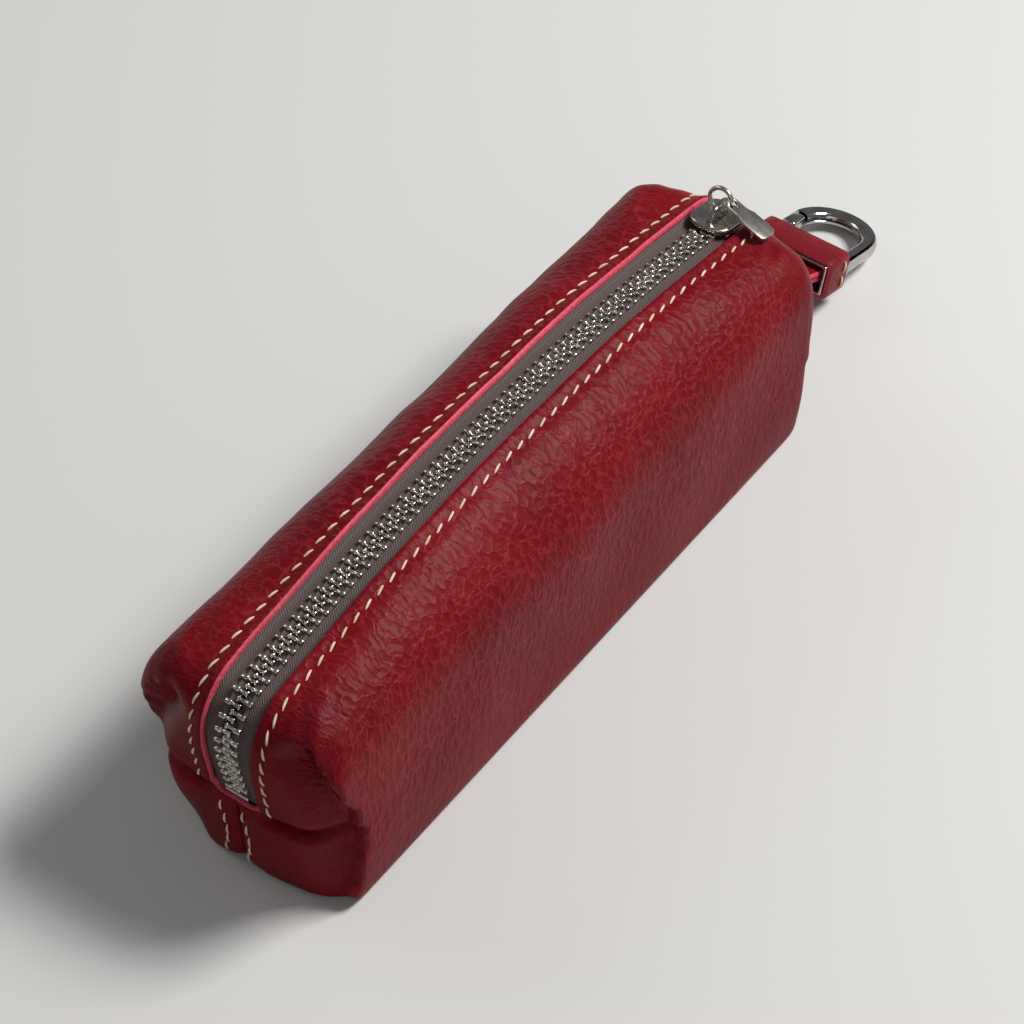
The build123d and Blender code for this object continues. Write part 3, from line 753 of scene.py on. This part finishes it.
def leather_place(x, y, z, slant):
    """A place on the leather, seen from the core towards a point, Y along the pouch."""
    core = inside_core(Vector((x, y, z)))
    core.x = x
    direction = (Vector((x, y, z)) - core).normalized()
    point = surface_point(core, direction)
    point += direction * wrinkles(point)
    step = 0.0004
    slope = Vector([pouch_distance(point + Vector(shift)) - pouch_distance(point - Vector(shift))
                    for shift in ((step, 0, 0), (0, step, 0), (0, 0, step))]).normalized()
    across = Vector((1, 0, 0))
    across = (across - slope * across.dot(slope)).normalized()
    along = slope.cross(across)
    turned = Matrix((across, along, slope)).transposed().to_4x4()
    return Matrix.Translation(point) @ turned @ Matrix.Rotation(slant, 4, "Z")


def stitch_row(places, name, node, body="pouch"):
    """A row of stitches as one piece."""
    mesh = bmesh.new()
    pattern = mesh.loops.layers.uv.new("pattern")
    for place in places:
        stitch(mesh, pattern, place)
    row = piece(mesh, name, [thread])
    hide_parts(node)
    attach(row, body)


skin_line = ZipLine(0.0)
zip_stitch_x = 0.0066
zip_stitch_count = floor(skin_line.length / stitch_pitch)
base_stitch_x = 0.0025
base_stitch_count = 38
end_stitch_count = 5
for side, word in ((-1, "left"), (1, "right")):
    places = []
    for row in range(zip_stitch_count):
        spot = skin_line.at((row + 0.6) * stitch_pitch)[0]
        places.append(leather_place(side * zip_stitch_x, spot.y, spot.z, side * stitch_slant))
    stitch_row(places, word + "_zip_thread", word + "_zip_stitches")
    places = []
    for row in range(base_stitch_count):
        y = (row - (base_stitch_count - 1) / 2) * stitch_pitch
        places.append(leather_place(side * base_stitch_x, y, 0.0, 0.0))
    for end in (-1, 1):
        for row in range(end_stitch_count):
            z = 0.0025 + row * stitch_pitch * 0.95
            sway = 0.0016 * sin(z * 190) if end < 0 else 0.0
            x = side * 0.0021 - 0.0014 + sway if end < 0 else side * base_stitch_x
            places.append(leather_place(x, end * 0.066, z, 0.0))
    stitch_row(places, word + "_base_thread", word + "_base_stitches")

# ---- Slider ----
# A die-cast nickel slider: two plates with rounded ends, flanges that hold the tapes, a
# neck at the far side and an arched bridge on top.
slider_width, slider_length, slider_corner = 0.0074, 0.0086, 0.0024
plate_thickness, plate_level = 0.0011, 0.00185
flange_size = (0.0007, 0.0052, 0.00064)
neck_size = (0.0012, 0.0014, 0.0030)
bridge_half, bridge_foot, bridge_rise = 0.0027, 0.0022, 0.0021


def lying_plate(mesh, outline, thickness, bevel, place, hole=None):
    """A flat plate with rounded rims, from points round its edge and round a hole."""
    verts = []
    for points in (outline, hole):
        if points:
            made = bmesh.ops.create_circle(mesh, cap_ends=hole is None, segments=len(points),
                                           radius=0.001)["verts"]
            for vert, (x, y) in zip(made, points):
                vert.co = Vector((x, y, -thickness / 2))
            verts += made
    edges = list({edge for vert in verts for edge in vert.link_edges})
    if hole:
        faces = bmesh.ops.bridge_loops(mesh, edges=edges)["faces"]
    else:
        faces = verts[0].link_faces[:]
    grown = bmesh.ops.extrude_face_region(mesh, geom=faces)["geom"]
    raised = [part for part in grown if isinstance(part, bmesh.types.BMVert)]
    bmesh.ops.translate(mesh, verts=raised, vec=(0, 0, thickness))
    verts += raised
    faces = list({face for vert in verts for face in vert.link_faces})
    bmesh.ops.recalc_face_normals(mesh, faces=faces)
    rims = [edge for edge in {edge for face in faces for edge in face.edges}
            if abs(edge.link_faces[0].normal.z) + abs(edge.link_faces[1].normal.z) > 0.5
            and abs(edge.link_faces[0].normal.dot(edge.link_faces[1].normal)) < 0.5]
    round_rims = bmesh.ops.bevel(mesh, geom=rims, offset=bevel, offset_type="OFFSET", segments=3,
                                 profile=0.5, affect="EDGES", clamp_overlap=True, material=-1)
    verts = {vert for vert in verts + round_rims["verts"] if vert.is_valid}
    bmesh.ops.transform(mesh, matrix=place, verts=list(verts))


def rounded_outline(width, length, radius, count=48, middle=(0.0, 0.0)):
    """Points round a rectangle with rounded corners, as seen from its middle."""
    points = []
    for step in range(count):
        angle = 2 * pi * (step + 0.5) / count
        near, far = 0.0, width + length
        for halving in range(30):
            reach = (near + far) / 2
            x, y = reach * cos(angle), reach * sin(angle)
            if rounded(abs(x) - width / 2, abs(y) - length / 2, radius) < 0:
                near = reach
            else:
                far = reach
        points.append((middle[0] + near * cos(angle), middle[1] + near * sin(angle)))
    return points


def round_section(width, height, radius, count=16):
    """Points round a bar's section."""
    return rounded_outline(width, height, radius, count)


def frame_at(point, along, up):
    """A frame with Y along a direction and Z as near to up as it can be."""
    along = Vector(along).normalized()
    across = along.cross(Vector(up)).normalized()
    rise = across.cross(along)
    return Matrix.Translation(point) @ Matrix((across, along, rise)).transposed().to_4x4()


mesh = bmesh.new()
plate_outline = rounded_outline(slider_width, slider_length, slider_corner)
for level in (-plate_level, plate_level):
    lying_plate(mesh, plate_outline, plate_thickness, 0.0003,
                slider_place @ Matrix.Translation((0, 0, level)))
for side in (-1, 1):
    for level in (-1, 1):
        place = slider_place @ Matrix.Translation((side * 0.00335, 0, level * 0.00098))
        block(mesh, flange_size, 0.00012, place, 2)
block(mesh, neck_size, 0.0002,
      slider_place @ Matrix.Translation((0, 0.0032, 0)), 2)
bridge_path = []
for step in range(25):
    angle = pi * step / 24
    y = -bridge_half * cos(angle)
    z = bridge_foot + bridge_rise * min(1.0, 1.25 * sin(angle)) ** 0.8
    y_slope = sin(angle) + 0.001
    z_slope = 1.1 * cos(angle) if 1.25 * sin(angle) < 1 else 0.0
    bridge_path.append(slider_place @ frame_at((0, y, z), (0, y_slope, z_slope),
                                               (0, -z_slope, y_slope)))
bent_bar(mesh, bridge_path, round_section(0.0012, 0.0009, 0.0003, 12))
slider = piece(mesh, "slider_casting", [nickel])
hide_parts("slider_body")
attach(slider, "slider")

# ---- Pull ring and tab ----
# A split wire ring stands in the bridge, and a small stamped tab hangs on it and lies over
# to the right.


def wire_ring(mesh, radius, wire, place, turns=36, sides=10):
    """A ring of round wire in the X and Y of a place."""
    made = bmesh.ops.create_circle(mesh, segments=sides, radius=wire / 2)
    edges = list({edge for vert in made["verts"] for edge in vert.link_edges})
    bmesh.ops.rotate(mesh, verts=made["verts"], matrix=Matrix.Rotation(pi / 2, 3, "X"))
    bmesh.ops.translate(mesh, verts=made["verts"], vec=(radius, 0, 0))
    bmesh.ops.spin(mesh, geom=made["verts"] + edges, cent=(0, 0, 0), axis=(0, 0, 1),
                   angle=2 * pi, steps=turns, use_merge=True)
    bmesh.ops.recalc_face_normals(mesh, faces=mesh.faces)
    bmesh.ops.transform(mesh, matrix=place, verts=mesh.verts)


mesh = bmesh.new()
ring_middle = 0.005225
ring_radius = 0.0021
ring_wire = 0.0008
ring_place = slider_place @ Matrix.Translation((0, 0, ring_middle))
wire_ring(mesh, ring_radius, ring_wire, ring_place @ Matrix.Rotation(pi / 2, 4, "X"))
ring = piece(mesh, "pull_ring_wire", [nickel])
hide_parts("pull_ring")
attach(ring, "pull_ring")

tab_droop = radians(18)
tab_eye, tab_hole_radius, tab_thickness = 0.0015, 0.00095, 0.0007
tab_place = (slider_place @ Matrix.Translation((ring_radius, 0, ring_middle))
             @ Matrix.Rotation(tab_droop, 4, "Y"))
tab_outline = []
tab_hole = []
for step in range(64):
    angle = 2 * pi * (step + 0.5) / 64
    near, far = 0.0, 0.012
    for halving in range(30):
        reach = (near + far) / 2
        x, y = reach * cos(angle), reach * sin(angle)
        eye = hypot(x, y) - tab_eye
        neck = rounded(abs(x - 0.0012) - 0.0014, abs(y) - 0.0015, 0.0002)
        blade = rounded(abs(x - 0.00505) - 0.00295, abs(y) - 0.0020, 0.0010)
        if min(eye, neck, blade) < 0:
            near = reach
        else:
            far = reach
    tab_outline.append((near * cos(angle), near * sin(angle)))
    tab_hole.append((tab_hole_radius * cos(angle), tab_hole_radius * sin(angle)))
mesh = bmesh.new()
lying_plate(mesh, tab_outline, tab_thickness, 0.00018, tab_place, tab_hole)
tab = piece(mesh, "pull_tab_metal", [nickel])
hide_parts("pull_tab")
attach(tab, "pull_tab")

# ---- Strap ----
# A folded leather strap of two plies, glued, with raw cut edges. Its tail is sewn into the
# far end seam and its fold turns round the hook's cross pin.
strap_width = 0.0125
strap_half = 0.0010
strap_joint = next(j for j in frame["joints"] if j["name"] == "hook_swing")
pin_spot = Vector(strap_joint["pos_m"])
strap_start = Vector((0, 0.0610, seam_height))
strap_bend = Vector((0, 0.0695, seam_height))
fold_radius = 0.00185
pressed_dye = (0.120, 0.0022, 0.0060, 1)
pressed_warm = (0.175, 0.0034, 0.0085, 1)


def smooth_leather():
    """The same dyed hide, flat and pressed, on the narrow parts."""
    finish, tree, shader = new_finish("pressed_leather")
    place = add_node(tree, "ShaderNodeTexCoord").outputs["Object"]
    cells = add_node(tree, "ShaderNodeTexVoronoi", {"Vector": place, "Scale": 900.0},
                     feature="DISTANCE_TO_EDGE")
    patch = add_node(tree, "ShaderNodeTexNoise", {"Vector": place, "Scale": 160.0, "Detail": 3.0})
    tone = ramp(tree, patch.outputs["Fac"], 0.3, 0.7, pressed_dye, pressed_warm)
    tree.links.new(tone, shader.inputs["Base Color"])
    bumps = ramp(tree, cells.outputs["Distance"], 0, 0.2)
    relief = add_node(tree, "ShaderNodeBump", {"Height": bumps, "Strength": 0.35,
                      "Distance": 0.0001})
    tree.links.new(relief.outputs["Normal"], shader.inputs["Normal"])
    shader.inputs["Roughness"].default_value = 0.40
    shader.inputs["Specular IOR Level"].default_value = 0.2
    return finish


pressed = smooth_leather()
fall = (pin_spot - strap_bend).normalized()
strap_path = []
bend_reach = 0.0022
bend_start = strap_bend - Vector((0, bend_reach, 0))
bend_end = strap_bend + fall * bend_reach
for step in range(6):
    strap_path.append((strap_start.lerp(bend_start, step / 5), (0, 1, 0)))
for step in range(1, 8):
    share = step / 8
    spot = bend_start * (1 - share) ** 2 + strap_bend * 2 * share * (1 - share)
    strap_path.append((spot + bend_end * share ** 2, Vector((0, 1, 0)).lerp(fall, share)))
for step in range(8):
    strap_path.append((bend_end.lerp(pin_spot, step / 7), fall))
# shares of the width and of one ply: rounded edges, with a glue line between the plies
strap_section = [(0.5, 0.75), (0.485, 1.0), (-0.485, 1.0), (-0.5, 0.75), (-0.5, 0.12),
                 (-0.487, 0.0), (-0.5, -0.12), (-0.5, -0.75), (-0.485, -1.0), (0.485, -1.0),
                 (0.5, -0.75), (0.5, -0.12), (0.487, 0.0), (0.5, 0.12)]
strap_section = [(x * strap_width, z * strap_half) for x, z in strap_section]
mesh = bmesh.new()
bent_bar(mesh, [frame_at(spot, along, (0, 0.001, 1)) for spot, along in strap_path],
         strap_section)
fold_section = [(fold_radius * cos(2 * pi * s / 24), fold_radius * sin(2 * pi * s / 24))
                for s in range(24)]
fold_path = [frame_at(pin_spot + Vector((x, 0, 0)), (1, 0, 0), (0, 0, 1))
             for x in (-strap_width / 2, strap_width / 2)]
bent_bar(mesh, fold_path, fold_section)
for face in mesh.faces:
    face.material_index = 1 if abs(face.normal.x) > 0.6 else 0
strap = piece(mesh, "strap_leather_band", [pressed, cut_edge])
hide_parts("strap")
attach(strap, "pouch")

strap_up = Vector((1, 0, 0)).cross(fall)
row_spot = pin_spot - fall * 0.0080 + strap_up * (strap_half + 0.00005)
places = []
for row in range(4):
    spot = row_spot + Vector(((row - 1.5) * stitch_pitch, 0, 0))
    places.append(frame_at(spot, (1, 0, 0), strap_up))
stitch_row(places, "strap_thread", "strap_stitches")

# ---- Hook ----
# A cast spring-gate hook in polished dark nickel: a flat sleeve for the strap, a thick
# rounded loop and two ears on its open left side. A plain pin crosses the sleeve.
hook_tilt = radians(17)
hook_place = Matrix.Translation(pin_spot) @ Matrix.Rotation(-hook_tilt, 4, "X")
gate_side = -0.0066
gate_pivot = 0.00695
sleeve_size, sleeve_wall, sleeve_depth = (0.0147, 0.0068, 0.0055), 0.0007, 0.0061
base_bar = (0.0162, 0.0013, 0.0025)
loop_middle, loop_reach = 0.0120, 0.0066
loop_width, loop_height, loop_corner = 0.0030, 0.0025, 0.0010
loop_start = pi - radians(8.7)
ear_radius, ear_thickness, ear_level = 0.0014, 0.0007, 0.0009
dark_nickel = plated_metal("dark_nickel", (0.60, 0.57, 0.54, 1), (0.40, 0.38, 0.36, 1),
                           0.06, 900.0)


def cylinder(mesh, radius, length, place, bevel, sides=28):
    """A round bar along Z of its place, with softened rims."""
    outline = [(radius * cos(2 * pi * s / sides), radius * sin(2 * pi * s / sides))
               for s in range(sides)]
    lying_plate(mesh, outline, length, bevel, place)


mesh = bmesh.new()
sleeve = Matrix.Translation((0, 0.0008, 0))
bmesh.ops.create_cube(mesh, size=1, matrix=sleeve @ Matrix.Diagonal((*sleeve_size, 1)))
mouth = [face for face in mesh.faces if face.normal.y < -0.5]
bmesh.ops.inset_region(mesh, faces=mouth, thickness=sleeve_wall)
deep = bmesh.ops.extrude_face_region(mesh, geom=mouth)
bmesh.ops.delete(mesh, geom=mouth, context="FACES_ONLY")
bmesh.ops.translate(mesh, verts=[g for g in deep["geom"] if isinstance(g, bmesh.types.BMVert)],
                    vec=(0, sleeve_depth, 0))
bmesh.ops.recalc_face_normals(mesh, faces=mesh.faces)
bmesh.ops.bevel(mesh, geom=mesh.edges[:], offset=0.00022, offset_type="OFFSET", segments=2,
                profile=0.5, affect="EDGES", clamp_overlap=True, material=-1)
bmesh.ops.transform(mesh, matrix=hook_place, verts=mesh.verts)
block(mesh, base_bar, 0.0005, hook_place @ Matrix.Translation((0, 0.00475, 0)), 3)
loop_path = []
for step in range(33):
    angle = loop_start - loop_start * step / 32
    spot = (loop_reach * cos(angle), loop_middle + loop_reach * sin(angle), 0)
    loop_path.append((spot, (sin(angle), -cos(angle), 0)))
for y in (0.0105, 0.0085, 0.0065, 0.0048):
    loop_path.append(((loop_reach, y, 0), (0, -1, 0)))
bent_bar(mesh, [hook_place @ frame_at(spot, along, (0, 0, 1)) for spot, along in loop_path],
         round_section(loop_width, loop_height, loop_corner, 20))
for level in (-ear_level, ear_level):
    ear = hook_place @ Matrix.Translation((gate_side, gate_pivot, level))
    cylinder(mesh, ear_radius, ear_thickness, ear, 0.00015)
    block(mesh, (0.0027, 0.0020, ear_thickness), 0.00012,
          hook_place @ Matrix.Translation((gate_side, 0.0059, level)))
hook = piece(mesh, "hook_casting", [dark_nickel])
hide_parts("hook_frame")
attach(hook, "hook")

for name, node, radius, length, place in (
        ("hook_cross_pin", "hook_pin", 0.0008, 0.0147, Matrix.Rotation(pi / 2, 4, "Y")),
        ("gate_rivet", "gate_pin", 0.00045, 0.00262,
         Matrix.Translation((gate_side, gate_pivot, 0)))):
    mesh = bmesh.new()
    cylinder(mesh, radius, length, hook_place @ place, 0.00012, 20)
    pin = piece(mesh, name, [dark_nickel])
    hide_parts(node)
    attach(pin, "hook")

# ---- Collar ----
# A band of the same hide with raw edges, glued round the hook's sleeve. Its ends lap on the
# right side, where two stitches hold them.
collar_middle = 0.0008
collar_depth = 0.0060
collar_outside = rounded_outline(0.01656, 0.00736, 0.0012, 96)
collar_inside = rounded_outline(0.01482, 0.00562, 0.0004, 96)
mesh = bmesh.new()
upright = hook_place @ Matrix.Translation((0, collar_middle, 0)) @ Matrix.Rotation(pi / 2, 4, "X")
lying_plate(mesh, collar_outside, collar_depth, 0.00018, upright, collar_inside)
hook_along = hook_place.to_3x3() @ Vector((0, 1, 0))
for face in mesh.faces:
    face.material_index = 1 if abs(face.normal.dot(hook_along)) > 0.8 else 0
collar = piece(mesh, "collar_band", [pressed, cut_edge])
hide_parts("hook_collar")
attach(collar, "hook")
places = []
for step in (-1, 1):
    spot = hook_place @ Vector((0.00832, collar_middle + collar_depth / 4, step * stitch_pitch / 2))
    places.append(frame_at(spot, hook_place.to_3x3() @ Vector((0, 0, 1)), (1, 0, 0)))
stitch_row(places, "collar_thread", "collar_stitches", "hook")

# ---- Gate ----
# The straight left side of the loop. Its knuckle turns between the ears, with a coil of
# spring wire beside it.
leaf_size, leaf_middle = (0.0026, 0.00425, 0.0023), 0.010575
coil_radius, coil_wire = 0.0007, 0.0002
mesh = bmesh.new()
knuckle = hook_place @ Matrix.Translation((gate_side, gate_pivot, 0))
cylinder(mesh, 0.0014, 0.0009, knuckle, 0.00015)
block(mesh, (0.0024, 0.0022, 0.0009), 0.00015,
      hook_place @ Matrix.Translation((gate_side, 0.0079, 0)))
block(mesh, leaf_size, 0.0006, hook_place @ Matrix.Translation((gate_side, leaf_middle, 0)), 3)
gate = piece(mesh, "hook_gate_casting", [dark_nickel])
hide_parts("hook_gate")
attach(gate, "gate")

steel = plated_metal("spring_steel", (0.55, 0.55, 0.56, 1), (0.35, 0.35, 0.37, 1),
                     0.22, 1500.0)
mesh = bmesh.new()
coil = hook_place @ Matrix.Translation((gate_side, gate_pivot, -0.00033))
wire_ring(mesh, coil_radius, coil_wire, coil, 24, 8)
spring = piece(mesh, "gate_spring_wire", [steel])
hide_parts("gate_spring")
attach(spring, "hook")
